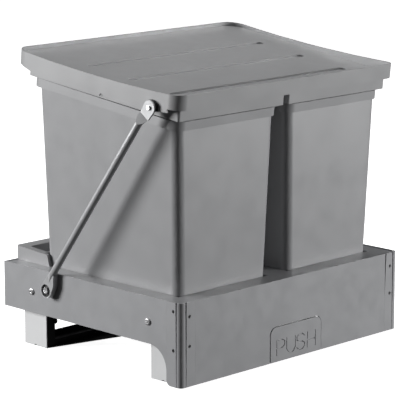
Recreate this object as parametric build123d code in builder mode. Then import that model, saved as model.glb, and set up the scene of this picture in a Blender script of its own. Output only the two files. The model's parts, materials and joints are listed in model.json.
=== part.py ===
from build123d import *
import math
import os

# Millimetres. X runs across the unit, +Y towards the back of the cabinet, +Z up.
# The origin is the centre of the four screw holes in the cabinet floor.

# Outer frame
frame_width = 440
frame_depth = 355
panel_top = 116.5
panel_floor_gap = 1.5
side_panel_bottom = 52
panel_wall = 3
front_setback = 45.5
bracket_spacing = 258
back_panel_gap = 2
back_flange = 12

# Corner pieces
corner_leg = 27
corner_radius = 7
corner_foot_radius = 7
corner_groove_top_width = 2.6
corner_groove_bottom_width = 0.8
corner_groove_depth = 2.2
corner_front_groove_inset = 10
corner_side_groove_inset = 8.4
corner_notch_width = 2.6
corner_notch_drop = 64.5
side_screw_inset = 13.8
side_screw_low = 51
side_screw_high = 104
front_screw_inset = 16.3
front_screw_low = 56.5
front_screw_high = 97
corner_screw_head_radius = 2.3
corner_screw_radius = 1.4
corner_screw_sink = 1
corner_screw_head = 1
tongue_wall = 2.5
tongue_lap = 3
tongue_end_gap = 3
tongue_floor = 8
side_tongue_floor = 38
arch_radius = 31.5

# Tray that holds the bins
tray_drop = 1
tray_wall = 2.5
side_ledge = 28
front_ledge = 32.2
rear_ledge = 55.8
pocket_gap = 38.2
pocket_floor = 52

# Bins
bin_clearance = 1.2
bin_rear_clearance = 2.2
bin_wall = 2.2
bin_radius = 13
bin_side_draft = 2.1
bin_front_draft = 1.65
bin_rear_draft = 0.7
bin_foot_radius = 2
bin_loft_margin = 12.4
bin_rim_front_height = 350.9
bin_rim_tilt = 6.5
collar_height = 12.4
collar_reach = 3.8
collar_rear_reach = 8.5
collar_radius = 17

# Lid
lid_side_inset = 2.2
lid_front_inset = 5.8
lid_depth = 322.8
lid_front_radius = 19
lid_rear_radius = 26
lid_wall = 2.5
lid_tilt = 6.2
rim_bottom_rise = 17.2
rim_bottom_tilt = 5.9
rim_front_depth = 21
rim_top_middle_rise = 11.6
rim_top_rear_rise = 33
lid_floor_rise = 21.5
lid_floor_tilt = 7.8
skirt_inset = 12.8
skirt_gap = 7.6
skirt_bottom_rise = 1.8
skirt_wall = 2
skirt_radius = 3.5
skirt_rear_inset = 16.5
apron_front = 21.2
apron_low_rise = 5.6
apron_step_rise = 14.5
apron_step_from_front = 47.7
apron_step_run = 8
apron_low_slope_share = 0.1114
apron_rear_low = 48
apron_rear_high = 14.2
apron_corner_radius = 11
apron_notch_radius = 4
apron_notch_from_front = 146
groove_spacing = 80
groove_first_inset = 59
groove_count = 3
groove_length = 346
groove_width = 12
groove_depth = 2.6
groove_wall = 1.6

# Lid arms and their pivots
arm_rod_radius = 5
arm_out = 2
lower_pivot_from_back = 99.8
lower_pivot_height = 91.9
upper_pivot_from_front = 53.3
upper_pivot_rise = 19.1
lower_eye_radius = 10.9
lower_eye_offset = 5.5
lower_eye_wall = 8.3
lower_neck_radius = 9.4
lower_neck_run = 12
lower_neck_shift = 1.1
lower_tip_radius = 3
lower_tip_run = 30
lower_flat_run = 15
lower_ramp_end = 27
upper_eye_radius = 9.8
upper_eye_wall = 2.5
upper_flat_run = 15
upper_flat_half = 8.5
upper_ramp_end = 27
ramp_bulge = 9.5
eye_recess_radius = 9
eye_recess_depth = 3.4
pivot_bolt_radius = 3
pivot_bolt_head_radius = 4.2
pivot_bolt_head = 3.3
bolt_slot_width = 1.1
bolt_slot_depth = 1.2
pivot_washer_radius = 8.6
pivot_washer_wall = 0.8
spacer_radius = 8
lid_pin_radius = 2.4
lid_pin_head_radius = 3.1
lid_pin_head = 2.4
lid_boss_radius = 4.7
lid_boss_wall = 4
bush_radius = 10.4
bush_flat_drop = 4.4
running_gap = 0.05
face_gap = 0.3

# Storage box behind the bins
box_side_inset = 23
box_rim_rise = 19.4
box_rim_front_drop = 3.6
box_rim_side = 11
box_rim_rear = 17
box_front_gap = 3
box_wall = 2.5
box_fit_gap = 0.3
box_floor_height = 64
box_corner_radius = 4
box_arm_wall = 4.5
box_arm_low_reach = 14.9
box_arm_high_reach = 10.1

# Telescopic runners
runner_start = 31
runner_rear_gap = 9
runner_height = 82
runner_wall = 1.2
runner_thickness = 9.2
outer_half = 17.5
outer_depth = 6.7
middle_half = 12.6
middle_web_gap = 1
middle_panel_gap = 1
inner_half = 9
ball_gap = 0.1
cage_length = 150
cage_balls = 6
outer_cage_wall = 2
outer_cage_width = 3.6
inner_cage_wall = 1.4
inner_cage_width = 2.6
cage_hole_gap = 0.1
slide_screw_front = 61.5
slide_screw_rear_inset = 59.1
pan_head_radius = 4.7
pan_head = 2.4
slide_screw_radius = 2
pan_recess_radius = 1.3
pan_recess_depth = 1.2
runner_bolt_radius = 2.5
runner_bolt_head_radius = 4.5
runner_bolt_head = 0.7
runner_nut_radius = 4.6
runner_nut = 3.6
nut_sides = 6

# Brackets that stand on the cabinet floor
plate_width = 47.5
plate_wall = 1.5
plate_top = 100
plate_edge_radius = 1.2
plate_notch_width = 3
plate_notch_height = 2
upright_width = 46
upright_wall = 2
upright_low_depth = 15
upright_high_depth = 8
upright_step = 46
upright_top = 97
stud_height = 36.5
stud_ear_radius = 4.2
stud_radius = 3.4
stud_dome = 2.4
stud_dome_share = 0.8
stud_shank_radius = 1.6
stud_from_edge = -0.6
rail_width = 41
rail_height = 9.5
rail_wall = 2
rail_lip_reach = 29.5
rail_lip_start = 3
rail_lip_half = 93
floor_hole_radius = 2.75
floor_hole_inset = 50

# Push tab and latch
tab_width = 103
tab_shift = 4.5
tab_top = 50.7
tab_corner_radius = 10.5
tab_top_groove = 1.2
tab_left_groove = 1.8
tab_right_groove = 0.4
tab_pin_radius = 1.5
tab_pin_back = 3.4
tab_pin_drop = 6
tab_knuckle_radius = 3
tab_knuckle_start = 20
tab_knuckle_width = 9
panel_ear_width = 4
panel_ear_radius = 3
panel_ear_rise = 8
hook_width = 16
hook_wall = 2
hook_foot_low = 24
hook_foot_high = 36
hook_reach = 40.6
hook_nose_depth = 4
hook_nose_drop = 7
hook_screw_radius = 1.4
hook_screw_head_radius = 2.6
hook_screw_head = 1.4
hook_screw_half_span = 5
catch_width = 22
catch_depth = 12
catch_ramp = 5
catch_base_wall = 3
catch_foot = 9
spring_wire_radius = 0.5
spring_coil_radius = 2.6
spring_turns = 5
spring_pitch = 1.3
spring_leg = 9
spring_start = 10

# Any cut that has to run clear of a face goes this much past it, and joined solids share this much
overrun = 30
overlap = 0.5

# Places worked out from the sizes
half_width = frame_width / 2
front_y = -bracket_spacing / 2 - front_setback
back_y = front_y + frame_depth
inner_x = half_width - panel_wall
runner_length = frame_depth - runner_start - runner_rear_gap
plate_x = inner_x - runner_thickness
front_in_y = front_y + panel_wall
back_in_y = back_y - panel_wall
tray_top = panel_top - tray_drop
pocket_out_x = half_width - side_ledge
pocket_in_x = pocket_gap / 2
pocket_front_y = front_y + front_ledge
pocket_back_y = back_y - rear_ledge
pocket_width = pocket_out_x - pocket_in_x
pocket_centre_x = (pocket_out_x + pocket_in_x) / 2
pocket_depth = pocket_back_y - pocket_front_y
pocket_floor_top = pocket_floor + tray_wall
bracket_ys = {"front": -bracket_spacing / 2, "rear": bracket_spacing / 2}
bin_loft_top = bin_rim_front_height + bin_loft_margin + pocket_depth * math.tan(math.radians(bin_rim_tilt))
collar_front_y = pocket_front_y + bin_clearance - collar_reach - (
    bin_rim_front_height - tray_top
) * math.tan(math.radians(bin_front_draft))
bin_mouth_width = pocket_width - 2 * bin_clearance + 2 * (bin_rim_front_height - tray_top) * math.tan(
    math.radians(bin_side_draft)
)
bin_mouth_back_y = pocket_back_y - bin_rear_clearance + (bin_rim_front_height - tray_top) * math.tan(
    math.radians(bin_rear_draft)
)
pocket_centre_y = (pocket_front_y + pocket_back_y) / 2
box_well_front = pocket_back_y + box_front_gap
box_inner_half = half_width - box_side_inset - box_rim_side
box_well_half = box_inner_half + box_wall
box_inner_back = back_y - box_rim_rear
lid_width = frame_width - 2 * lid_side_inset
lid_front_y = front_y + lid_front_inset
lid_back_y = lid_front_y + lid_depth
rim_bottom_front_height = bin_rim_front_height + rim_bottom_rise
rim_top_front_height = rim_bottom_front_height + rim_front_depth
rim_top_middle_height = rim_top_front_height + rim_top_middle_rise
rim_top_rear_height = rim_top_front_height + rim_top_rear_rise
lid_floor_front_height = bin_rim_front_height + lid_floor_rise
skirt_bottom_height = bin_rim_front_height + skirt_bottom_rise
apron_low_front_height = bin_rim_front_height + apron_low_rise
apron_step_height = bin_rim_front_height + apron_step_rise
upper_pivot_height = bin_rim_front_height + upper_pivot_rise
lid_run = lid_depth * math.cos(math.radians(lid_tilt)) + (
    rim_top_rear_height - rim_top_front_height
) * math.sin(math.radians(lid_tilt))
lower_pivot_y = back_y - lower_pivot_from_back
upper_pivot_y = front_y + upper_pivot_from_front
arm_run_y = upper_pivot_y - lower_pivot_y
arm_run_z = upper_pivot_height - lower_pivot_height
arm_in_x = half_width + arm_out
arm_x = arm_in_x + arm_rod_radius
tab_pin_y = front_in_y + tab_pin_back
tab_pin_height = tab_top - tab_pin_drop
ear_top = tab_top + panel_ear_rise
hook_tip_y = front_in_y + hook_reach
hook_nose_bottom = hook_foot_high - hook_wall - hook_nose_drop
hook_screw_spots = [
    (side * hook_screw_half_span, (hook_foot_low + hook_foot_high - hook_wall) / 2) for side in (-1, 1)
]
slide_screw_ys = [front_y + slide_screw_front, back_y - slide_screw_rear_inset]


def slope_plane(height, start_y, tilt):
    """A plane that rises towards the back, with its own y running up the slope."""
    lean = math.radians(tilt)
    return Plane(
        origin=(0, start_y, height),
        x_dir=(1, 0, 0),
        z_dir=(0, -math.sin(lean), math.cos(lean)),
    )


lid_plane = slope_plane(rim_top_front_height, lid_front_y, lid_tilt)
skirt_plane = slope_plane(skirt_bottom_height, lid_front_y + skirt_inset, lid_tilt)


def write(name, piece):
    piece.part.label = name
    export_step(piece.part, f"parts/{name}.step")


def write_both_sides(name, left):
    """The left piece as it stands, and the same piece mirrored for the right side."""
    with BuildPart() as right:
        mirror(left.part, about=Plane.YZ)
    write(f"{name}_left", left)
    write(f"{name}_right", right)


def build_cross_rails():
    """Black channel across the cabinet floor, with a slanted lip towards the middle of the unit."""
    half_length = plate_x - plate_wall - upright_wall
    for name, inward in (("front", 1), ("rear", -1)):
        centre_y = bracket_ys[name]
        edge_y = centre_y + inward * rail_width / 2
        lip_y = edge_y + inward * rail_lip_reach
        lip_start_y = edge_y + inward * rail_lip_start
        with BuildPart() as rail:
            with BuildSketch(Plane.XY):
                with Locations((0, centre_y)):
                    Rectangle(2 * half_length, upright_width)
                with BuildLine():
                    Polyline(
                        (-half_length, centre_y),
                        (-half_length, lip_start_y),
                        (-rail_lip_half, lip_y),
                        (rail_lip_half, lip_y),
                        (half_length, lip_start_y),
                        (half_length, centre_y),
                        close=True,
                    )
                make_face()
            extrude(amount=rail_wall)
            for side in (-1, 1):
                wall_y = centre_y + side * (rail_width - rail_wall) / 2
                with BuildSketch(Plane.XY):
                    with Locations((0, wall_y)):
                        Rectangle(2 * half_length, rail_wall)
                extrude(amount=rail_height)
            with BuildSketch(Plane.XY):
                with Locations((floor_hole_inset - half_width, centre_y), (half_width - floor_hole_inset, centre_y)):
                    Circle(floor_hole_radius)
            extrude(amount=rail_wall, mode=Mode.SUBTRACT)
        write(f"cross_rail_{name}", rail)


def build_brackets():
    """Black folded upright and the pale plate on its outer face, one of each at every corner."""
    web_out_x = -(plate_x - plate_wall)
    low_x = web_out_x + upright_low_depth
    high_x = web_out_x + upright_high_depth
    stud_x = low_x - stud_from_edge
    for name, centre_y in bracket_ys.items():
        flange_y = centre_y - upright_width / 2
        with BuildPart() as upright:
            with BuildSketch(Plane.YZ.offset(web_out_x)):
                with Locations((centre_y, upright_top / 2)):
                    Rectangle(upright_width, upright_top)
            extrude(amount=upright_wall)
            for side in (-1, 1):
                start_y = centre_y + side * upright_width / 2
                with BuildSketch(Plane.XZ.offset(-start_y)):
                    with BuildLine():
                        Polyline(
                            (web_out_x, rail_wall),
                            (low_x, rail_wall),
                            (low_x, upright_step),
                            (high_x, upright_step),
                            (high_x, upright_top),
                            (web_out_x, upright_top),
                            close=True,
                        )
                    make_face()
                extrude(amount=side * upright_wall)
            with BuildSketch(Plane.XZ.offset(-flange_y)):
                with Locations((stud_x, stud_height)):
                    Circle(stud_ear_radius)
            extrude(amount=-upright_wall)
            with BuildSketch(Plane.XZ.offset(-flange_y)):
                with Locations((stud_x, stud_height)):
                    Circle(stud_shank_radius)
            extrude(amount=-upright_wall, mode=Mode.SUBTRACT)
            with BuildSketch(Plane.YZ.offset(web_out_x)):
                with Locations((centre_y, runner_height)):
                    Circle(runner_bolt_radius)
            extrude(amount=upright_wall, mode=Mode.SUBTRACT)
        write_both_sides(f"upright_{name}", upright)

        with BuildPart() as plate:
            with BuildSketch(Plane.YZ.offset(-plate_x)):
                with Locations((centre_y, plate_top / 2)):
                    Rectangle(plate_width, plate_top)
                with Locations((centre_y, plate_notch_height / 2)):
                    Rectangle(plate_notch_width, plate_notch_height, mode=Mode.SUBTRACT)
                with Locations((centre_y, runner_height)):
                    Circle(runner_bolt_radius, mode=Mode.SUBTRACT)
            extrude(amount=plate_wall)
            outer = plate.faces().sort_by(Axis.X)[0].edges().filter_by(Axis.Z)
            fillet(outer.group_by(Axis.Y)[0] + outer.group_by(Axis.Y)[-1], plate_edge_radius)
        write_both_sides(f"mount_plate_{name}", plate)

    with BuildPart() as studs:
        for side in (-1, 1):
            for centre_y in bracket_ys.values():
                face_y = centre_y - upright_width / 2
                with BuildSketch(Plane.XZ.offset(-face_y)):
                    with Locations((-side * stud_x, stud_height)):
                        Circle(stud_radius)
                extrude(amount=stud_dome)
                with BuildSketch(Plane.XZ.offset(-face_y)):
                    with Locations((-side * stud_x, stud_height)):
                        Circle(stud_shank_radius)
                extrude(amount=-upright_wall)
        heads = studs.edges().filter_by(GeomType.CIRCLE).filter_by(
            lambda edge: abs(edge.radius - stud_radius) < ball_gap
        )
        fronts = [
            edge
            for edge in heads
            if any(
                abs(edge.arc_center.Y - centre_y + upright_width / 2 + stud_dome) < ball_gap
                for centre_y in bracket_ys.values()
            )
        ]
        fillet(fronts, stud_dome * stud_dome_share)
    write("bracket_studs", studs)


def channel(start_x, direction, half_height, depth, start_y):
    """Sketch of a channel that opens towards direction, drawn on the plane at start_y."""
    with BuildSketch(Plane.XZ.offset(-start_y)) as profile:
        with Locations((start_x + direction * depth / 2, runner_height)):
            Rectangle(depth, 2 * half_height)
        with Locations((start_x + direction * (depth + runner_wall) / 2, runner_height)):
            Rectangle(depth - runner_wall, 2 * (half_height - runner_wall), mode=Mode.SUBTRACT)
    return profile.sketch


def build_runners():
    """Outer, middle and inner members of the left runner, mirrored for the right."""
    start_y = front_y + runner_start
    middle_x = -(plate_x + runner_wall + middle_web_gap)
    middle_depth = inner_x - middle_panel_gap + middle_x
    inner_depth = inner_x + middle_x - runner_wall - face_gap
    with BuildPart() as outer:
        extrude(channel(-plate_x, -1, outer_half, outer_depth, start_y), amount=-runner_length)
        with BuildSketch(Plane.YZ.offset(-plate_x)):
            with Locations(*[(y, runner_height) for y in bracket_ys.values()]):
                Circle(runner_bolt_radius)
        extrude(amount=-runner_wall, mode=Mode.SUBTRACT)
    write_both_sides("runner_outer", outer)

    with BuildPart() as middle:
        extrude(channel(middle_x, -1, middle_half, middle_depth, start_y), amount=-runner_length)
    write_both_sides("runner_middle", middle)

    with BuildPart() as inner:
        extrude(channel(-inner_x, 1, inner_half, inner_depth, start_y), amount=-runner_length)
        with BuildSketch(Plane.YZ.offset(-inner_x)):
            with Locations(*[(y, runner_height) for y in slide_screw_ys]):
                Circle(slide_screw_radius)
        extrude(amount=runner_wall, mode=Mode.SUBTRACT)
    write_both_sides("runner_inner", inner)

    middle_start = plate_x + runner_wall + middle_web_gap
    outer_race = (outer_half - runner_wall, middle_half)
    inner_race = (middle_half - runner_wall, inner_half)
    build_ball_cage(
        "outer", plate_x + outer_depth, middle_start, *outer_race, outer_cage_wall, outer_cage_width
    )
    build_ball_cage(
        "inner",
        inner_x - middle_panel_gap,
        middle_start + runner_wall + face_gap,
        *inner_race,
        inner_cage_wall,
        inner_cage_width,
    )


def build_ball_cage(name, flange_end, flange_start, race_out, race_in, wall, width):
    """Two strips, above and below, with their balls in round holes."""
    centre_x = -(flange_start + flange_end) / 2
    race_middle = (race_out + race_in) / 2
    ball_radius = min((race_out - race_in) / 2 - ball_gap, width / 2 - 2 * cage_hole_gap)
    start_y = front_y + runner_start + (runner_length - cage_length) / 2
    step = cage_length / cage_balls
    spots = [start_y + step / 2 + step * i for i in range(cage_balls)]
    with BuildPart() as cage:
        for side in (-1, 1):
            level = runner_height + side * race_middle
            with BuildSketch(Plane.XY.offset(level - wall / 2)):
                with Locations((centre_x, start_y + cage_length / 2)):
                    Rectangle(width, cage_length)
                with Locations(*[(centre_x, y) for y in spots]):
                    Circle(ball_radius + cage_hole_gap, mode=Mode.SUBTRACT)
            extrude(amount=wall)
            with Locations(*[(centre_x, y, level) for y in spots]):
                Sphere(ball_radius)
    write_both_sides(f"{name}_ball_cage", cage)


def build_front_panel():
    """Front panel with the cut-out for the push tab and ears behind it for the tab's pin."""
    panel_half = half_width - corner_leg
    panel_bottom = panel_floor_gap
    tongue_out = inner_x - tongue_end_gap
    tongue_in = panel_half - tongue_lap
    tongue_top = tray_top - tray_wall
    opening_left = tab_shift - tab_width / 2 - tab_left_groove
    opening_right = tab_shift + tab_width / 2 + tab_right_groove
    opening_top = tab_top + tab_top_groove
    with BuildPart() as panel:
        with BuildSketch(Plane.XZ.offset(-front_y)):
            with Locations((0, (panel_top + panel_bottom) / 2)):
                Rectangle(2 * panel_half, panel_top - panel_bottom)
        extrude(amount=-panel_wall)
        with BuildSketch(Plane.XZ.offset(-front_y)) as opening:
            with Locations(((opening_left + opening_right) / 2, opening_top / 2)):
                Rectangle(opening_right - opening_left, opening_top)
            fillet(opening.vertices().group_by(Axis.Y)[-1], tab_corner_radius + tab_top_groove)
        extrude(amount=-panel_wall, mode=Mode.SUBTRACT)
        for side in (-1, 1):
            with BuildSketch(Plane.XZ.offset(-front_in_y)):
                with Locations((side * (tongue_out + tongue_in) / 2, (tongue_top + tongue_floor) / 2)):
                    Rectangle(tongue_out - tongue_in, tongue_top - tongue_floor)
                with Locations(
                    (side * (half_width - front_screw_inset), front_screw_low),
                    (side * (half_width - front_screw_inset), front_screw_high),
                ):
                    Circle(corner_screw_radius, mode=Mode.SUBTRACT)
            extrude(amount=-tongue_wall)
            ear_x = side * (tab_knuckle_start + tab_knuckle_width + face_gap + panel_ear_width / 2)
            ear_plane = Plane.YZ.offset(ear_x - panel_ear_width / 2)
            with BuildSketch(ear_plane):
                with Locations((tab_pin_y, tab_pin_height)):
                    Circle(panel_ear_radius)
                with Locations((tab_pin_y, (tab_pin_height + ear_top) / 2)):
                    Rectangle(2 * panel_ear_radius, ear_top - tab_pin_height)
                with Locations(((front_in_y + tab_pin_y) / 2, (opening_top + ear_top) / 2)):
                    Rectangle(tab_pin_y - front_in_y, ear_top - opening_top)
            extrude(amount=panel_ear_width)
            with BuildSketch(ear_plane):
                with Locations((tab_pin_y, tab_pin_height)):
                    Circle(tab_pin_radius)
            extrude(amount=panel_ear_width, mode=Mode.SUBTRACT)
    write("front_panel", panel)


def groove_outline(centre):
    """Upright groove that narrows from the panel's top to its foot."""
    with BuildSketch(Plane.XY) as outline:
        with BuildLine():
            Polyline(
                (centre - corner_groove_bottom_width / 2, panel_floor_gap),
                (centre - corner_groove_top_width / 2, panel_top),
                (centre + corner_groove_top_width / 2, panel_top),
                (centre + corner_groove_bottom_width / 2, panel_floor_gap),
                close=True,
            )
        make_face()
    return outline.sketch


def build_corner_piece():
    """Moulded corner leg: rounded post between two grooves, with stepped screw holes."""
    with BuildPart() as corner:
        with BuildSketch(Plane.XY.offset(panel_floor_gap)) as outline:
            with Locations((-half_width + corner_leg / 2, front_y + corner_leg / 2)):
                Rectangle(corner_leg, corner_leg)
            fillet(outline.vertices().group_by(Axis.X)[0].sort_by(Axis.Y)[0], corner_radius)
            with Locations((-inner_x + corner_leg / 2, front_in_y + corner_leg / 2)):
                Rectangle(corner_leg, corner_leg, mode=Mode.SUBTRACT)
        extrude(amount=panel_top - panel_floor_gap)
        foot = (
            corner.edges()
            .filter_by(Axis.X)
            .group_by(Axis.Z)[0]
            .filter_by(lambda edge: abs(edge.center().Y - front_y - corner_leg) < face_gap)
        )
        fillet(foot, corner_foot_radius)
        front_spots = [
            (-half_width + front_screw_inset, front_screw_low),
            (-half_width + front_screw_inset, front_screw_high),
        ]
        side_spots = [
            (front_y + side_screw_inset, side_screw_low),
            (front_y + side_screw_inset, side_screw_high),
        ]
        sink = corner_screw_sink + corner_screw_head
        for radius, start, depth in (
            (corner_screw_head_radius, 0, sink),
            (corner_screw_radius, sink, panel_wall - sink),
        ):
            with BuildSketch(Plane.XZ.offset(-(front_y + start))):
                with Locations(*front_spots):
                    Circle(radius)
            extrude(amount=-depth, mode=Mode.SUBTRACT)
            with BuildSketch(Plane.YZ.offset(-half_width + start)):
                with Locations(*side_spots):
                    Circle(radius)
            extrude(amount=depth, mode=Mode.SUBTRACT)
        with BuildSketch(Plane.XZ.offset(-front_y)):
            add(groove_outline(-half_width + corner_front_groove_inset))
        extrude(amount=-corner_groove_depth, mode=Mode.SUBTRACT)
        with BuildSketch(Plane.YZ.offset(-half_width)):
            add(groove_outline(front_y + corner_side_groove_inset))
        extrude(amount=corner_groove_depth, mode=Mode.SUBTRACT)
    write("corner_piece_left", corner)

    leg_end = half_width - corner_leg
    with BuildPart() as right:
        mirror(corner.part, about=Plane.YZ)
        with BuildSketch(Plane.XZ.offset(-front_y)):
            with BuildLine():
                Polyline(
                    (leg_end, panel_top),
                    (leg_end + corner_notch_width, panel_top),
                    (leg_end, panel_top - corner_notch_drop),
                    close=True,
                )
            make_face()
        extrude(amount=-corner_groove_depth, mode=Mode.SUBTRACT)
    write("corner_piece_right", right)

    with BuildPart() as screws:
        for side in (-1, 1):
            for height in (front_screw_low, front_screw_high):
                spot = (side * (half_width - front_screw_inset), height)
                with BuildSketch(Plane.XZ.offset(-(front_y + corner_screw_sink))):
                    with Locations(spot):
                        Circle(corner_screw_head_radius)
                extrude(amount=-corner_screw_head)
                with BuildSketch(Plane.XZ.offset(-(front_y + corner_screw_sink))):
                    with Locations(spot):
                        Circle(corner_screw_radius)
                extrude(amount=-(panel_wall - corner_screw_sink + tongue_wall))
            for height in (side_screw_low, side_screw_high):
                spot = (front_y + side_screw_inset, height)
                with BuildSketch(Plane.YZ.offset(side * (half_width - corner_screw_sink))):
                    with Locations(spot):
                        Circle(corner_screw_head_radius)
                extrude(amount=-side * corner_screw_head)
                with BuildSketch(Plane.YZ.offset(side * (half_width - corner_screw_sink))):
                    with Locations(spot):
                        Circle(corner_screw_radius)
                extrude(amount=-side * (panel_wall - corner_screw_sink + tongue_wall))
    write("corner_screws", screws)


def build_side_panel():
    """Side panel with the arched step behind the corner leg and a tongue behind the corner piece."""
    start_y = front_y + corner_leg
    arch_y = start_y + arch_radius
    tongue_top = tray_top - tray_wall
    tongue_front = front_in_y + tongue_end_gap
    with BuildPart() as panel:
        with BuildSketch(Plane.YZ.offset(-half_width)):
            with BuildLine():
                Polyline(
                    (start_y, side_panel_bottom - arch_radius),
                    (start_y, panel_top),
                    (back_y, panel_top),
                    (back_y, side_panel_bottom),
                    (arch_y, side_panel_bottom),
                )
                RadiusArc(
                    (arch_y, side_panel_bottom),
                    (start_y, side_panel_bottom - arch_radius),
                    -arch_radius,
                )
            make_face()
            with Locations(*[(y, runner_height) for y in slide_screw_ys]):
                Circle(slide_screw_radius, mode=Mode.SUBTRACT)
            with Locations((lower_pivot_y, lower_pivot_height)):
                Circle(pivot_bolt_radius, mode=Mode.SUBTRACT)
        extrude(amount=panel_wall)
        with BuildSketch(Plane.YZ.offset(-inner_x)):
            with Locations(
                (
                    (tongue_front + start_y + tongue_lap) / 2,
                    (side_tongue_floor + tongue_top) / 2,
                )
            ):
                Rectangle(start_y + tongue_lap - tongue_front, tongue_top - side_tongue_floor)
            with Locations(
                (front_y + side_screw_inset, side_screw_low),
                (front_y + side_screw_inset, side_screw_high),
            ):
                Circle(corner_screw_radius, mode=Mode.SUBTRACT)
        extrude(amount=tongue_wall)
    write_both_sides("side_panel", panel)


def build_back_panel():
    """Back panel between the side panels, narrow below so that it passes the brackets."""
    low_half = plate_x - plate_wall - upright_high_depth - back_panel_gap
    with BuildPart() as panel:
        with BuildSketch(Plane.XZ.offset(-back_in_y)):
            with Locations((0, (plate_top + back_panel_gap + panel_top) / 2)):
                Rectangle(2 * inner_x, panel_top - plate_top - back_panel_gap)
            with Locations((0, (side_panel_bottom + panel_top) / 2)):
                Rectangle(2 * low_half, panel_top - side_panel_bottom)
        extrude(amount=-panel_wall)
        for side in (-1, 1):
            flange_height = tray_top - tray_wall - plate_top - back_panel_gap
            with BuildSketch(Plane.YZ.offset(side * inner_x)):
                with Locations(
                    (back_in_y - back_flange / 2, plate_top + back_panel_gap + flange_height / 2)
                ):
                    Rectangle(back_flange, flange_height)
            extrude(amount=-side * tongue_wall)
    write("back_panel", panel)


def build_tray():
    """Black moulding with a flat flange and a deep pocket for each bin."""
    flange_bottom = tray_top - tray_wall
    with BuildPart() as tray:
        with BuildSketch(Plane.XY.offset(flange_bottom)):
            with Locations((0, (front_in_y + back_in_y) / 2)):
                Rectangle(2 * inner_x, back_in_y - front_in_y)
            with Locations((0, (box_well_front - box_fit_gap + back_in_y) / 2)):
                Rectangle(
                    2 * (box_well_half + box_fit_gap),
                    back_in_y - box_well_front + box_fit_gap,
                    mode=Mode.SUBTRACT,
                )
        extrude(amount=tray_wall)
        with BuildSketch(Plane.XY.offset(pocket_floor)):
            with Locations((-pocket_centre_x, pocket_centre_y), (pocket_centre_x, pocket_centre_y)):
                Rectangle(pocket_width + 2 * tray_wall, pocket_depth + 2 * tray_wall)
        extrude(amount=flange_bottom - pocket_floor)
        with BuildSketch(Plane.XY.offset(pocket_floor_top)):
            with Locations((-pocket_centre_x, pocket_centre_y), (pocket_centre_x, pocket_centre_y)):
                Rectangle(pocket_width, pocket_depth)
        extrude(amount=tray_top - pocket_floor_top, mode=Mode.SUBTRACT)
    write("tray", tray)


def build_storage_box():
    """Shallow open box behind the bins, with a hollow rim whose top slopes up to the back."""
    half = half_width - box_side_inset
    lip_front = pocket_back_y
    top_rear = panel_top + box_rim_rise
    top_front = top_rear - box_rim_front_drop

    def rim_block(inset, drop):
        """The rim's outline, made smaller by inset, from the tray to the sloping top less drop."""
        with BuildPart() as block:
            with BuildSketch(Plane.XY.offset(tray_top)) as outline:
                with Locations((0, (lip_front + back_y) / 2)):
                    Rectangle(2 * (half - inset), back_y - lip_front - 2 * inset)
                rear = outline.vertices().group_by(Axis.Y)[-1]
                fillet(rear, box_corner_radius - inset)
            extrude(amount=top_rear - tray_top)
            with BuildSketch(Plane.YZ.offset(-half_width)):
                with BuildLine():
                    Polyline(
                        (lip_front, 0),
                        (lip_front, top_front - drop),
                        (back_y, top_rear - drop),
                        (back_y, 0),
                        close=True,
                    )
                make_face()
            extrude(amount=frame_width, mode=Mode.INTERSECT)
        return block.part

    rim_outside = rim_block(0, 0)
    rim_inside = rim_block(box_wall, box_wall)
    with BuildPart() as box:
        add(rim_outside)
        add(rim_inside, mode=Mode.SUBTRACT)
        well_depth = box_inner_back + box_wall - box_well_front
        with BuildSketch(Plane.XY.offset(box_floor_height)):
            with Locations((0, box_well_front + well_depth / 2)):
                Rectangle(2 * box_well_half, well_depth)
        extrude(amount=top_front - box_floor_height)
        with BuildSketch(Plane.XY.offset(tray_top)):
            with Locations((0, (back_in_y + back_y) / 2)):
                Rectangle(2 * half, panel_wall)
        extrude(amount=tray_drop, mode=Mode.SUBTRACT)
        inner_depth = box_inner_back - lip_front - box_wall
        with BuildSketch(Plane.XY.offset(tray_top)):
            with Locations((0, lip_front + box_wall + inner_depth / 2)):
                Rectangle(2 * box_inner_half, inner_depth)
        extrude(amount=top_rear - tray_top, mode=Mode.SUBTRACT)
        low_depth = box_inner_back - box_well_front - box_wall
        with BuildSketch(Plane.XY.offset(box_floor_height + box_wall)):
            with Locations((0, box_well_front + box_wall + low_depth / 2)):
                Rectangle(2 * box_inner_half, low_depth)
        extrude(amount=tray_top - box_floor_height, mode=Mode.SUBTRACT)
        arm_top = top_front - box_arm_high_reach * box_rim_front_drop / (back_y - lip_front)
        for side in (-1, 1):
            with BuildSketch(Plane.YZ.offset(side * half)):
                with BuildLine():
                    Polyline(
                        (lip_front + box_wall, tray_top),
                        (lip_front + box_wall, top_front),
                        (lip_front, top_front),
                        (lip_front - box_arm_high_reach, arm_top),
                        (lip_front - box_arm_low_reach, tray_top),
                        close=True,
                    )
                make_face()
            extrude(amount=-side * box_arm_wall)
    write("storage_box", box)


def bin_section(height, inset):
    """Rounded outline of the bin's body at a height, drawn in from its outer face by inset."""
    rise = height - tray_top
    half = pocket_width / 2 - bin_clearance + rise * math.tan(math.radians(bin_side_draft)) - inset
    front = pocket_front_y + bin_clearance - rise * math.tan(math.radians(bin_front_draft)) + inset
    rear = pocket_back_y - bin_rear_clearance + rise * math.tan(math.radians(bin_rear_draft)) - inset
    with BuildSketch(Plane.XY.offset(height)) as outline:
        with Locations((-pocket_centre_x, (front + rear) / 2)):
            RectangleRounded(2 * half, rear - front, bin_radius - inset)
    return outline.sketch


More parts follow.
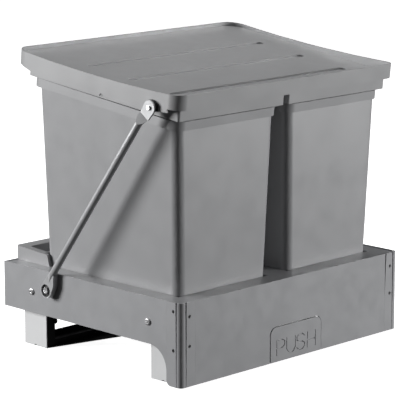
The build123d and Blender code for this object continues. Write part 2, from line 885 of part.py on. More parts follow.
def build_bins():
    """Tapered bin with a down-turned collar square to its sloping mouth."""
    mouth = slope_plane(bin_rim_front_height, collar_front_y, bin_rim_tilt)
    run = math.cos(math.radians(bin_rim_tilt))
    collar_length = (bin_mouth_back_y + collar_rear_reach - collar_front_y) / run
    collar_width = bin_mouth_width + 2 * collar_reach
    outside = [bin_section(pocket_floor_top, 0), bin_section(bin_loft_top, 0)]
    inside = [bin_section(pocket_floor_top + bin_wall, bin_wall), bin_section(bin_loft_top, bin_wall)]
    with BuildPart() as left:
        loft(outside)
        fillet(left.faces().sort_by(Axis.Z)[0].edges(), bin_foot_radius)
        split(bisect_by=mouth, keep=Keep.BOTTOM)
        with BuildSketch(mouth):
            with Locations((-pocket_centre_x, collar_length / 2)):
                RectangleRounded(collar_width, collar_length, collar_radius)
        extrude(amount=-bin_wall)
        with BuildSketch(mouth):
            with Locations((-pocket_centre_x, collar_length / 2)):
                RectangleRounded(collar_width, collar_length, collar_radius)
                RectangleRounded(
                    collar_width - 2 * bin_wall,
                    collar_length - 2 * bin_wall,
                    collar_radius - bin_wall,
                    mode=Mode.SUBTRACT,
                )
        extrude(amount=-collar_height)
        loft(inside, mode=Mode.SUBTRACT)
    write_both_sides("bin", left)


def lid_outline(inset):
    """The lid's rounded outline on its own sloping plane, drawn in by inset."""
    with BuildSketch(lid_plane) as outline:
        with Locations((0, lid_run / 2)):
            Rectangle(lid_width - 2 * inset, lid_run - 2 * inset)
        fillet(outline.vertices().group_by(Axis.Y)[0], lid_front_radius - inset)
        fillet(outline.vertices().group_by(Axis.Y)[-1], lid_rear_radius - inset)
    return outline.sketch


def rim_profile():
    """Side view of the rim: straight below, a long arc above that runs out level at both ends."""
    drop = overrun * math.tan(math.radians(rim_bottom_tilt))
    bottom_back = rim_bottom_front_height + lid_depth * math.tan(math.radians(rim_bottom_tilt))
    with BuildSketch(Plane.YZ.offset(-half_width)) as profile:
        with BuildLine():
            Polyline(
                (lid_front_y + lid_wall, rim_top_front_height),
                (lid_front_y - overrun, rim_top_front_height),
                (lid_front_y - overrun, rim_bottom_front_height - drop),
                (lid_back_y + overrun, bottom_back + drop),
                (lid_back_y + overrun, rim_top_rear_height),
                (lid_back_y - lid_wall, rim_top_rear_height),
            )
            ThreePointArc(
                (lid_back_y - lid_wall, rim_top_rear_height),
                ((lid_front_y + lid_back_y) / 2, rim_top_middle_height),
                (lid_front_y + lid_wall, rim_top_front_height),
            )
        make_face()
    return profile.sketch


def floor_profile(top_drop, bottom_drop):
    """Side view of a slab under the lid's floor, between two depths below its upper face."""
    slope = math.tan(math.radians(lid_floor_tilt))
    start = lid_floor_front_height - overrun * slope
    end = lid_floor_front_height + (lid_depth + overrun) * slope
    with BuildSketch(Plane.YZ.offset(-half_width)) as profile:
        with BuildLine():
            Polyline(
                (lid_front_y - overrun, start - top_drop),
                (lid_back_y + overrun, end - top_drop),
                (lid_back_y + overrun, end - bottom_drop),
                (lid_front_y - overrun, start - bottom_drop),
                close=True,
            )
        make_face()
    return profile.sketch


def apron_profile():
    """Side view of the apron that hangs below the rim and carries the arm's upper pivot."""
    low_front = apron_low_front_height
    front = lid_front_y + apron_front
    step_y = lid_front_y + apron_step_from_front
    rear_low = lid_back_y - apron_rear_low
    rear_high = lid_back_y - apron_rear_high
    slope = math.tan(math.radians(rim_bottom_tilt))
    with BuildSketch(Plane.YZ.offset(-lid_width / 2)) as profile:
        with BuildLine():
            Polyline(
                (front, apron_step_height),
                (step_y, apron_step_height),
                (step_y + apron_step_run, low_front + apron_low_slope_share * (step_y + apron_step_run - front_y)),
                (rear_low, low_front + apron_low_slope_share * (rear_low - front_y)),
                (rear_high, rim_bottom_front_height + slope * (rear_high - lid_front_y)),
                (rear_high, rim_bottom_front_height + slope * (rear_high - lid_front_y) + lid_wall),
                (front, rim_bottom_front_height + slope * (front - lid_front_y) + lid_wall),
                close=True,
            )
        make_face()
        corner = profile.vertices().sort_by(Axis.Y)[0]
        fillet(corner, apron_corner_radius)
        notch_y = lid_front_y + apron_notch_from_front
        with Locations((notch_y, low_front + apron_low_slope_share * (notch_y - front_y))):
            Circle(apron_notch_radius, mode=Mode.SUBTRACT)
    return profile.sketch


def skirt_outline(side, inset):
    """Outline of the skirt that covers one bin's mouth."""
    out_x = lid_width / 2 - skirt_inset - inset
    in_x = skirt_gap / 2 + inset
    run = (lid_depth - skirt_inset - skirt_rear_inset) / math.cos(math.radians(lid_tilt))
    with BuildSketch(skirt_plane) as outline:
        with Locations((side * (out_x + in_x) / 2, run / 2)):
            RectangleRounded(out_x - in_x, run - 2 * inset, skirt_radius - inset)
    return outline.sketch


def build_lid():
    """One moulded lid: dished top with a rim, a skirt over each bin, and an apron at each side."""
    outer = lid_outline(0)
    inner = lid_outline(lid_wall)
    middle = lid_outline(lid_wall / 2)
    rim_side = rim_profile()
    floor_side = floor_profile(0, lid_wall)
    apron_side = apron_profile()
    skirts = [(skirt_outline(side, 0), skirt_outline(side, skirt_wall)) for side in (-1, 1)]
    reach = lid_depth / 2

    with BuildPart() as rim_and_aprons:
        extrude(rim_side, amount=frame_width)
        extrude(apron_side, amount=lid_rear_radius)
        mirror(about=Plane.YZ)

    with BuildPart() as rim:
        extrude(outer, amount=reach, both=True)
        extrude(inner, amount=reach, both=True, mode=Mode.SUBTRACT)
        add(rim_and_aprons.part, mode=Mode.INTERSECT)

    under_floor = floor_profile(lid_wall / 2, reach)
    with BuildPart() as skirt_walls:
        for outside, inside in skirts:
            extrude(outside, amount=reach)
        for outside, inside in skirts:
            extrude(inside, amount=reach, mode=Mode.SUBTRACT)
        extrude(under_floor, amount=frame_width, mode=Mode.INTERSECT)

    floor_plane = slope_plane(lid_floor_front_height, lid_front_y, lid_floor_tilt)
    groove_spots = [
        (0, (groove_first_inset + groove_spacing * i) / math.cos(math.radians(lid_floor_tilt)))
        for i in range(groove_count)
    ]
    with BuildPart() as lid:
        extrude(middle, amount=reach, both=True)
        extrude(floor_side, amount=frame_width, mode=Mode.INTERSECT)
        with BuildSketch(floor_plane.offset(-lid_wall / 2)):
            with Locations(*groove_spots):
                SlotOverall(groove_length + 2 * groove_wall, groove_width + 2 * groove_wall)
        extrude(amount=-(groove_depth + groove_wall - lid_wall / 2))
        add(rim.part)
        add(skirt_walls.part)
        with BuildSketch(floor_plane):
            with Locations(*groove_spots):
                SlotOverall(groove_length, groove_width)
        extrude(amount=-groove_depth, mode=Mode.SUBTRACT)
        for side in (-1, 1):
            for radius, mode in ((lid_boss_radius, Mode.ADD), (lid_pin_radius, Mode.SUBTRACT)):
                with BuildSketch(Plane.YZ.offset(side * lid_width / 2)):
                    with Locations((upper_pivot_y, upper_pivot_height)):
                        Circle(radius)
                extrude(amount=-side * (lid_wall + lid_boss_wall), mode=mode)
    write("lid", lid)


def build_lid_arm():
    """Round rod with a drop-shaped eye beside its axis below and a flattened, cranked eye above."""
    up = Vector(0, arm_run_y, arm_run_z).normalized()
    across = Vector(0, -up.Z, up.Y)
    low_pivot = Vector(-arm_x, lower_pivot_y, lower_pivot_height)
    high_pivot = Vector(-arm_x, upper_pivot_y, upper_pivot_height)
    rod_low = low_pivot - across * lower_eye_offset
    rod_up = (high_pivot - rod_low).normalized()
    rod_length = (high_pivot - rod_low).length
    low_face = Plane(origin=low_pivot, x_dir=rod_up, z_dir=(-1, 0, 0))
    high_face = Plane(origin=high_pivot, x_dir=-rod_up, z_dir=(-1, 0, 0))
    low_side = Plane(origin=low_pivot, x_dir=rod_up, z_dir=(0, -rod_up.Z, rod_up.Y))
    high_side = Plane(origin=high_pivot, x_dir=-rod_up, z_dir=(0, rod_up.Z, -rod_up.Y))
    low_out = lower_eye_wall - arm_rod_radius
    high_out = upper_eye_wall - arm_rod_radius
    with BuildPart() as arm:
        with BuildSketch(Plane(origin=rod_low + rod_up * lower_flat_run / 2, z_dir=rod_up)):
            Circle(arm_rod_radius)
        extrude(amount=rod_length - upper_ramp_end - lower_flat_run / 2)
        with BuildSketch(low_face.offset(-arm_rod_radius)):
            Circle(lower_eye_radius)
            with Locations((lower_neck_run, lower_neck_shift)):
                Circle(lower_neck_radius)
            with Locations((lower_tip_run, lower_eye_offset)):
                Circle(lower_tip_radius)
            make_hull()
        extrude(amount=lower_eye_wall)
        with BuildSketch(Plane(origin=high_pivot - rod_up * upper_ramp_end, x_dir=across, z_dir=rod_up)):
            Circle(arm_rod_radius)
        with BuildSketch(Plane(origin=high_pivot - rod_up * upper_flat_run, x_dir=across, z_dir=rod_up)):
            Ellipse(ramp_bulge, arm_rod_radius)
        loft()
        with BuildSketch(high_face.offset(-arm_rod_radius)):
            Circle(upper_eye_radius)
            with Locations((upper_flat_run, 0)):
                Rectangle(overlap, 2 * upper_flat_half)
            make_hull()
        extrude(amount=upper_eye_wall)
        for side_plane, level, flat_run, ramp_end in (
            (low_side, low_out, lower_flat_run, lower_ramp_end),
            (high_side, high_out, upper_flat_run, upper_ramp_end),
        ):
            with BuildSketch(side_plane):
                with BuildLine():
                    Polyline(
                        (-overrun, level),
                        (flat_run, level),
                        (ramp_end, arm_rod_radius),
                        (ramp_end, overrun),
                        (-overrun, overrun),
                        close=True,
                    )
                make_face()
            extrude(amount=overrun, both=True, mode=Mode.SUBTRACT)
        with BuildSketch(low_face.offset(low_out)):
            Circle(eye_recess_radius)
        extrude(amount=-eye_recess_depth, mode=Mode.SUBTRACT)
        for face, radius in ((low_face, pivot_bolt_radius), (high_face, lid_pin_radius)):
            with BuildSketch(face):
                Circle(radius + running_gap)
            extrude(amount=arm_rod_radius, both=True, mode=Mode.SUBTRACT)
    write_both_sides("lid_arm", arm)


def build_arm_pivots():
    """Bolts, washers and spacers at the lower pivots; headed pins and flat-sided bushes at the upper ones."""
    bolt_seat = arm_in_x + lower_eye_wall - eye_recess_depth + pivot_washer_wall
    eye_out_x = arm_in_x + upper_eye_wall
    lid_x = lid_width / 2
    lower = (lower_pivot_y, lower_pivot_height)
    upper = (upper_pivot_y, upper_pivot_height)
    turned = (
        ("arm_pivot_bolts", lower, bolt_seat, pivot_bolt_head_radius, pivot_bolt_head, 0),
        ("arm_pivot_bolts", lower, inner_x, pivot_bolt_radius, bolt_seat - inner_x, 0),
        ("arm_pivot_washers", lower, bolt_seat - pivot_washer_wall + running_gap,
         pivot_washer_radius, pivot_washer_wall - running_gap, pivot_bolt_radius),
        ("arm_pivot_spacers", lower, half_width, spacer_radius, arm_out - face_gap, pivot_bolt_radius),
        ("lid_pivot_pins", upper, eye_out_x + running_gap, lid_pin_head_radius, lid_pin_head, 0),
        ("lid_pivot_pins", upper, lid_x - lid_wall - lid_boss_wall, lid_pin_radius,
         eye_out_x + running_gap - lid_x + lid_wall + lid_boss_wall, 0),
        ("lid_pivot_bushes", upper, lid_x, bush_radius, arm_in_x - face_gap - lid_x, lid_pin_radius),
    )
    for name in dict.fromkeys(row[0] for row in turned):
        with BuildPart() as piece:
            for side in (-1, 1):
                for row_name, spot, start, radius, reach, hole in turned:
                    if row_name != name:
                        continue
                    with BuildSketch(Plane.YZ.offset(side * start)):
                        with Locations(spot):
                            Circle(radius)
                            if hole:
                                Circle(hole, mode=Mode.SUBTRACT)
                    extrude(amount=side * reach)
                if name == "arm_pivot_bolts":
                    with BuildSketch(Plane.YZ.offset(side * (bolt_seat + pivot_bolt_head))):
                        with Locations(lower):
                            Rectangle(pivot_bolt_head_radius, bolt_slot_width)
                            Rectangle(bolt_slot_width, pivot_bolt_head_radius)
                    extrude(amount=-side * bolt_slot_depth, mode=Mode.SUBTRACT)
            if name == "lid_pivot_bushes":
                split(bisect_by=Plane.XY.offset(upper_pivot_height - bush_flat_drop), keep=Keep.TOP)
        write(name, piece)


def build_runner_screws():
    """Pan-head screws on the side panels and the bolts that hold the outer members."""
    with BuildPart() as screws:
        for side in (-1, 1):
            with BuildSketch(Plane.YZ.offset(side * half_width)):
                with Locations(*[(y, runner_height) for y in slide_screw_ys]):
                    Circle(pan_head_radius)
            extrude(amount=side * pan_head)
            with BuildSketch(Plane.YZ.offset(side * half_width)):
                with Locations(*[(y, runner_height) for y in slide_screw_ys]):
                    Circle(slide_screw_radius)
            extrude(amount=-side * (panel_wall + runner_wall))
        rims = screws.edges().filter_by(GeomType.CIRCLE).group_by(SortBy.RADIUS)[-1]
        fillet(rims.group_by(Axis.X)[0] + rims.group_by(Axis.X)[-1], pan_head / 2)
        for side in (-1, 1):
            with BuildSketch(Plane.YZ.offset(side * (half_width + pan_head))):
                with Locations(*[(y, runner_height) for y in slide_screw_ys]):
                    Circle(pan_recess_radius)
            extrude(amount=-side * pan_recess_depth, mode=Mode.SUBTRACT)
    write("slide_screws", screws)

    web_in_x = plate_x - plate_wall - upright_wall
    with BuildPart() as bolts:
        for side in (-1, 1):
            with BuildSketch(Plane.YZ.offset(side * (plate_x + runner_wall))):
                with Locations(*[(y, runner_height) for y in bracket_ys.values()]):
                    Circle(runner_bolt_head_radius)
            extrude(amount=side * runner_bolt_head)
            with BuildSketch(Plane.YZ.offset(side * (web_in_x - runner_nut))):
                with Locations(*[(y, runner_height) for y in bracket_ys.values()]):
                    Circle(runner_bolt_radius)
            extrude(amount=side * (plate_x + runner_wall - web_in_x + runner_nut))
    write("runner_bolts", bolts)

    with BuildPart() as nuts:
        for side in (-1, 1):
            with BuildSketch(Plane.YZ.offset(side * web_in_x)):
                with Locations(*[(y, runner_height) for y in bracket_ys.values()]):
                    RegularPolygon(runner_nut_radius, nut_sides)
                    Circle(runner_bolt_radius, mode=Mode.SUBTRACT)
            extrude(amount=-side * runner_nut)
    write("runner_nuts", nuts)


def build_push_tab():
    """Push tab in the front panel's cut-out, with knuckles on its pin."""
    with BuildPart() as tab:
        with BuildSketch(Plane.XZ.offset(-front_y)) as face:
            with Locations((tab_shift, (tab_top + panel_floor_gap) / 2)):
                Rectangle(tab_width, tab_top - panel_floor_gap)
            fillet(face.vertices().group_by(Axis.Y)[-1], tab_corner_radius)
        extrude(amount=-panel_wall)
        for side in (-1, 1):
            knuckle = Plane.YZ.offset(side * (tab_knuckle_start + tab_knuckle_width / 2) - tab_knuckle_width / 2)
            with BuildSketch(knuckle):
                with Locations((tab_pin_y, tab_pin_height)):
                    Circle(tab_knuckle_radius)
                with Locations(((front_in_y + tab_pin_y) / 2, tab_pin_height)):
                    Rectangle(tab_pin_y - front_in_y, 2 * tab_knuckle_radius)
            extrude(amount=tab_knuckle_width)
            with BuildSketch(knuckle):
                with Locations((tab_pin_y, tab_pin_height)):
                    Circle(tab_pin_radius + running_gap)
            extrude(amount=tab_knuckle_width, mode=Mode.SUBTRACT)
        with BuildSketch(Plane.XZ.offset(-front_in_y)):
            with Locations(*hook_screw_spots):
                Circle(hook_screw_radius)
        extrude(amount=panel_wall / 2, mode=Mode.SUBTRACT)
    write("push_tab", tab)

    pin_half = tab_knuckle_start + tab_knuckle_width + face_gap + panel_ear_width
    with BuildPart() as pin:
        with BuildSketch(Plane.YZ.offset(-pin_half)):
            with Locations((tab_pin_y, tab_pin_height)):
                Circle(tab_pin_radius)
        extrude(amount=2 * pin_half)
    write("tab_hinge_pin", pin)


def build_latch():
    """Hook on the back of the tab, its screws, the catch block it drops behind, and its screws."""
    with BuildPart() as hook:
        with BuildSketch(Plane.YZ.offset(-hook_width / 2)):
            with BuildLine():
                Polyline(
                    (front_in_y, hook_foot_low),
                    (front_in_y, hook_foot_high),
                    (hook_tip_y, hook_foot_high),
                    (hook_tip_y, hook_nose_bottom),
                    (hook_tip_y - hook_nose_depth, hook_nose_bottom),
                    (hook_tip_y - hook_nose_depth, hook_foot_high - hook_wall),
                    (front_in_y + hook_wall, hook_foot_high - hook_wall),
                    (front_in_y + hook_wall, hook_foot_low),
                    close=True,
                )
            make_face()
        extrude(amount=hook_width)
        with BuildSketch(Plane.XZ.offset(-front_in_y)):
            with Locations(*hook_screw_spots):
                Circle(hook_screw_radius)
        extrude(amount=-hook_wall, mode=Mode.SUBTRACT)
    write("latch_hook", hook)

    with BuildPart() as screws:
        with BuildSketch(Plane.XZ.offset(-(front_in_y + hook_wall))):
            with Locations(*hook_screw_spots):
                Circle(hook_screw_head_radius)
        extrude(amount=-hook_screw_head)
        with BuildSketch(Plane.XZ.offset(-(front_in_y + hook_wall))):
            with Locations(*hook_screw_spots):
                Circle(hook_screw_radius)
        extrude(amount=hook_wall + panel_wall / 2)
    write("hook_screws", screws)

    catch_back = hook_tip_y - hook_nose_depth - face_gap
    catch_front = catch_back - catch_depth
    catch_top = hook_nose_bottom - face_gap
    catch_spots = [
        (side * (catch_width + catch_foot) / 2, (catch_front + catch_back) / 2) for side in (-1, 1)
    ]
    with BuildPart() as catch:
        with BuildSketch(Plane.YZ.offset(-catch_width / 2)):
            with BuildLine():
                Polyline(
                    (catch_front, rail_wall),
                    (catch_front, catch_top - catch_ramp),
                    (catch_front + catch_ramp, catch_top),
                    (catch_back, catch_top),
                    (catch_back, rail_wall),
                    close=True,
                )
            make_face()
        extrude(amount=catch_width)
        with BuildSketch(Plane.XY.offset(rail_wall)):
            with Locations((0, (catch_front + catch_back) / 2)):
                Rectangle(catch_width + 2 * catch_foot, catch_depth)
        extrude(amount=catch_base_wall)
        with BuildSketch(Plane.XY.offset(rail_wall)):
            with Locations(*catch_spots):
                Circle(hook_screw_radius)
        extrude(amount=catch_base_wall, mode=Mode.SUBTRACT)
    write("latch_catch", catch)

    with BuildPart() as catch_screws:
        with BuildSketch(Plane.XY.offset(rail_wall + catch_base_wall)):
            with Locations(*catch_spots):
                Circle(hook_screw_head_radius)
        extrude(amount=hook_screw_head)
        with BuildSketch(Plane.XY.offset(rail_wall + catch_base_wall)):
            with Locations(*catch_spots):
                Circle(hook_screw_radius)
        extrude(amount=-catch_base_wall)
    write("catch_screws", catch_screws)


def build_tab_spring():
    """Torsion spring round the tab's pin, with one leg behind the tab and one behind the panel."""
    coil_length = spring_pitch * spring_turns
    with BuildPart() as coil:
        with BuildLine() as line:
            Helix(spring_pitch, coil_length, spring_coil_radius)
        with BuildSketch(Plane(origin=line.line @ 0, z_dir=line.line % 0)):
            Circle(spring_wire_radius)
        sweep(path=line.line)
        for level, direction in ((0, 1), (coil_length, -1)):
            with BuildSketch(Plane.XZ):
                with Locations((spring_coil_radius, level)):
                    Circle(spring_wire_radius)
            extrude(amount=direction * spring_leg)
    seat = Plane(
        origin=(spring_start, tab_pin_y, tab_pin_height), x_dir=(0, -1, 0), z_dir=(1, 0, 0)
    )
    with BuildPart() as spring:
        with Locations(seat.location):
            add(coil.part)
    write("tab_spring", spring)


os.makedirs("parts", exist_ok=True)
build_cross_rails()
build_brackets()
build_runners()
build_runner_screws()
build_front_panel()
build_corner_piece()
build_side_panel()
build_back_panel()
build_tray()
build_storage_box()
build_bins()
build_lid()
build_lid_arm()
build_arm_pivots()
build_push_tab()
build_latch()
build_tab_spring()
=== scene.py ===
import json
import math

import bmesh
import bpy
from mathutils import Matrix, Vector


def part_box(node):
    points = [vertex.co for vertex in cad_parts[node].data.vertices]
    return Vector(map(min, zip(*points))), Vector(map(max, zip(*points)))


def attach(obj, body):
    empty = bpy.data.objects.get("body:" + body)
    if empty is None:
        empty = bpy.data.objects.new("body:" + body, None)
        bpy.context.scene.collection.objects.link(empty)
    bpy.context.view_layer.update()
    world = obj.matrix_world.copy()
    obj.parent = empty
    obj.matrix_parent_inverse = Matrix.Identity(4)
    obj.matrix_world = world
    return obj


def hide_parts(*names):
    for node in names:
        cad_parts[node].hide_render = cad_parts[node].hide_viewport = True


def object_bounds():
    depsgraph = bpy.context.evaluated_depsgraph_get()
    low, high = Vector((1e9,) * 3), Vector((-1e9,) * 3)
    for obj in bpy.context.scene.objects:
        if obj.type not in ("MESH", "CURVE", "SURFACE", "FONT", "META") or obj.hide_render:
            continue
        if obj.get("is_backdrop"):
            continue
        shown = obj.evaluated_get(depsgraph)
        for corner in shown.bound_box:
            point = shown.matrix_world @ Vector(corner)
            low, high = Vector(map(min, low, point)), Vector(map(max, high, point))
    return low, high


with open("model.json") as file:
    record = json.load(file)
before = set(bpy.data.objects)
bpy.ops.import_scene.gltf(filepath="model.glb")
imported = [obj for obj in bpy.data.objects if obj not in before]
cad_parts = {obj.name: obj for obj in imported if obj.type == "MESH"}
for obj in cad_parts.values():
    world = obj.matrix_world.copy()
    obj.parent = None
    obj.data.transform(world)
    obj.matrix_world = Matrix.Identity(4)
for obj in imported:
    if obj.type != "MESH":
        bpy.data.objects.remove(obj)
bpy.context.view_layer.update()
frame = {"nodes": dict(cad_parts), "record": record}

# Metres, in the frame of the CAD model: X across, +Y to the back of the cabinet, +Z up.
record = frame["record"]
body_of = {node: body for body, nodes in record["behaviour"]["bodies"].items() for node in nodes}
slot_of = {part["node"]: part["material_slot"] for part in record["subparts"]}
front_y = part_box("front_panel")[0].y

# Camera, solved from the edges of the unit in the photograph
camera_x = -2.1538
camera_from_front = -1.9557
camera_height = 0.8182
camera_turn = -45.203
camera_tip = 11.568
camera_lens = 195.93
camera_sensor = 36
camera_reach = 50
right_angle = 90

# Floor and lights
floor_half = 6
floor_colour = (0.9, 0.9, 0.9)
floor_roughness = 0.8
floor_glow = 0.95
backdrop_colour = (1.0, 1.0, 1.0)
ambient_colour = (0.97, 0.98, 1.0)
ambient_strength = 0.045
lights = (
    # name, place, aim, size, watts
    ("key", (-2.6, 2.3, 1.0), (-0.1, 0, 0.25), 1.5, 150),
    ("front", (2.6, -2.8, 0.62), (0.1, 0, 0.25), 1.0, 126),
    ("top", (0.2, 0.4, 2.6), (0, 0, 0.3), 1.6, 35),
)

# Soft edges, in metres by material slot and, where they are finer, by node
merge_gap = 1e-6
flat_angle = math.radians(1)
sharp_angle = math.radians(32)
bevel_segments = 3
bevel_profile = 0.5
edge_widths = {
    "grey_painted_steel": 0.0009,
    "grey_moulding": 0.0007,
    "black_moulding": 0.0005,
    "grey_bin_plastic": 0.0006,
    "grey_box_plastic": 0.0006,
    "grey_lid_plastic": 0.0008,
    "silver_arm_paint": 0.0006,
    "bright_steel": 0.0002,
    "runner_zinc": 0.00025,
    "pale_zinc_plate": 0.0004,
    "black_steel": 0.0004,
}
fine_edges = {"push_tab": 0.0003, "front_panel": 0.0005, "lid_arm_left": 0.0004, "lid_arm_right": 0.0004}

# Noise of each kind of finish: lumps to the metre, detail, stretch along X, Y and Z
even = (1, 1, 1)
coat_cloud = (14, 5, even)
coat_sheen = (55, 3, even)
coat_speckle = (900, 2, even)
coat_peel = (260, 1, even)
plastic_cloud = (6, 4, (1, 1, 0.35))
plastic_sheen = (30, 4, even)
plastic_flow = (35, 1, even)
plastic_grain_detail = 3
zinc_cloud = (70, 4, even)
zinc_sheen = (420, 3, (1, 0.06, 1))
zinc_roll = (1500, 2, (1, 0.05, 1))
steel_cloud = (160, 3, even)
steel_sheen = (700, 3, even)
steel_scratch = (2400, 2, even)
paint_flake = (2600, 2, even)
paint_sheen = (60, 3, even)
paint_peel = (700, 2, even)
floor_cloud = (3, 3, even)

# The middle range of a noise, which colour and gloss are spread over
noise_low = 0.3
noise_high = 0.7

# Relief: depth in metres, strength
coat_speckle_relief = (0.00006, 0.5)
coat_peel_relief = (0.00012, 0.35)
plastic_grain_strength = 0.6
plastic_flow_relief = (0.0001, 0.1)
zinc_roll_relief = (0.00003, 0.4)
steel_scratch_relief = (0.00002, 0.4)
paint_peel_relief = (0.00005, 0.4)

# How far the roughness wanders below and above its middle value
coat_gloss = (-0.05, 0.06)
plastic_gloss = (-0.06, 0.06)
zinc_gloss = (-0.08, 0.1)
steel_gloss = (-0.06, 0.1)
paint_gloss = (-0.04, 0.05)

# How far the tone wanders, as a part of the colour
coat_tone = 0.04
plastic_tone = 0.03
black_tone = 0.15
zinc_tone = 0.1
steel_tone = 0.06
paint_tone = 0.1
floor_tone = 0.005

# Finishes by material slot
coats = {
    # colour, roughness, tone
    "grey_painted_steel": ((0.335, 0.338, 0.348), 0.36, coat_tone),
    "black_steel": ((0.012, 0.012, 0.013), 0.4, black_tone),
    "pale_zinc_plate": ((0.7, 0.705, 0.71), 0.38, coat_tone),
}
plastics = {
    # colour, roughness, grain to the metre, its depth, tone
    "grey_moulding": ((0.33, 0.333, 0.343), 0.4, 1500, 0.00005, plastic_tone),
    "grey_bin_plastic": ((0.325, 0.327, 0.335), 0.38, 1300, 0.00004, plastic_tone),
    "grey_box_plastic": ((0.33, 0.332, 0.34), 0.4, 1300, 0.00004, plastic_tone),
    "grey_lid_plastic": ((0.35, 0.352, 0.358), 0.34, 1100, 0.00005, plastic_tone),
    "black_moulding": ((0.012, 0.012, 0.013), 0.45, 1200, 0.00005, black_tone),
}
zinc_plates = {
    # colour, roughness
    "runner_zinc": ((0.62, 0.63, 0.65), 0.3),
    "bearing_balls_cage": ((0.6, 0.61, 0.63), 0.22),
}
turned_steels = {
    # colour, roughness
    "bright_steel": ((0.85, 0.85, 0.86), 0.3),
}
metal_paints = {
    # colour, roughness, metallic
    "silver_arm_paint": ((0.5, 0.505, 0.515), 0.34, 0.4),
}
full_metal = 1.0

# Lettering on the push tab, drawn in plain strokes in a box one unit wide and high
letter_low = 0.0107
letter_high = 0.032
letter_places = {
    # left and right side
    "P": (-0.0349, -0.0189),
    "U": (-0.0148, 0.0028),
    "S": (0.0062, 0.0219),
    "H": (0.0275, 0.0441),
}
stroke_width = 0.0013
stroke_depth = 0.0017
stroke_lead = 0.001
letters = {
    "P": [[(0, 0), (0, 1), (0.7, 1), (1, 0.85), (1, 0.6), (0.7, 0.45), (0, 0.45)]],
    "U": [[(0, 1), (0, 0.25), (0.25, 0), (0.75, 0), (1, 0.25), (1, 1)]],
    "S": [[(1, 0.85), (0.75, 1), (0.25, 1), (0, 0.85), (0, 0.65), (0.25, 0.52),
           (0.75, 0.48), (1, 0.35), (1, 0.15), (0.75, 0), (0.25, 0), (0, 0.15)]],
    "H": [[(0, 0), (0, 1)], [(1, 0), (1, 1)], [(0, 0.5), (1, 0.5)]],
}
bar_faces = ((0, 1, 2, 3), (7, 6, 5, 4), (0, 4, 5, 1), (1, 5, 6, 2), (2, 6, 7, 3), (3, 7, 4, 0))


def add_camera():
    data = bpy.data.cameras.new("camera")
    data.lens = camera_lens
    data.sensor_width = camera_sensor
    data.clip_end = camera_reach
    camera = bpy.data.objects.new("camera", data)
    camera.location = (camera_x, front_y + camera_from_front, camera_height)
    camera.rotation_euler = (math.radians(right_angle - camera_tip), 0, math.radians(camera_turn))
    bpy.context.collection.objects.link(camera)
    bpy.context.scene.camera = camera


def add_lights():
    for name, place, aim, size, watts in lights:
        data = bpy.data.lights.new(name, "AREA")
        data.shape = "DISK"
        data.size = size
        data.energy = watts
        light = bpy.data.objects.new(name, data)
        light.location = place
        light.rotation_euler = (Vector(aim) - Vector(place)).to_track_quat("-Z", "Y").to_euler()
        bpy.context.collection.objects.link(light)
    world = bpy.data.worlds.new("studio")
    bpy.context.scene.world = world
    world.use_nodes = True
    tree = world.node_tree
    ambient = tree.nodes["Background"]
    ambient.inputs["Color"].default_value = (*ambient_colour, 1)
    ambient.inputs["Strength"].default_value = ambient_strength
    backdrop = tree.nodes.new("ShaderNodeBackground")
    backdrop.inputs["Color"].default_value = (*backdrop_colour, 1)
    seen = tree.nodes.new("ShaderNodeLightPath")
    blend = tree.nodes.new("ShaderNodeMixShader")
    tree.links.new(seen.outputs["Is Camera Ray"], blend.inputs["Fac"])
    tree.links.new(ambient.outputs["Background"], blend.inputs[1])
    tree.links.new(backdrop.outputs["Background"], blend.inputs[2])
    tree.links.new(blend.outputs["Shader"], tree.nodes["World Output"].inputs["Surface"])
    bpy.context.scene.view_settings.view_transform = "Standard"


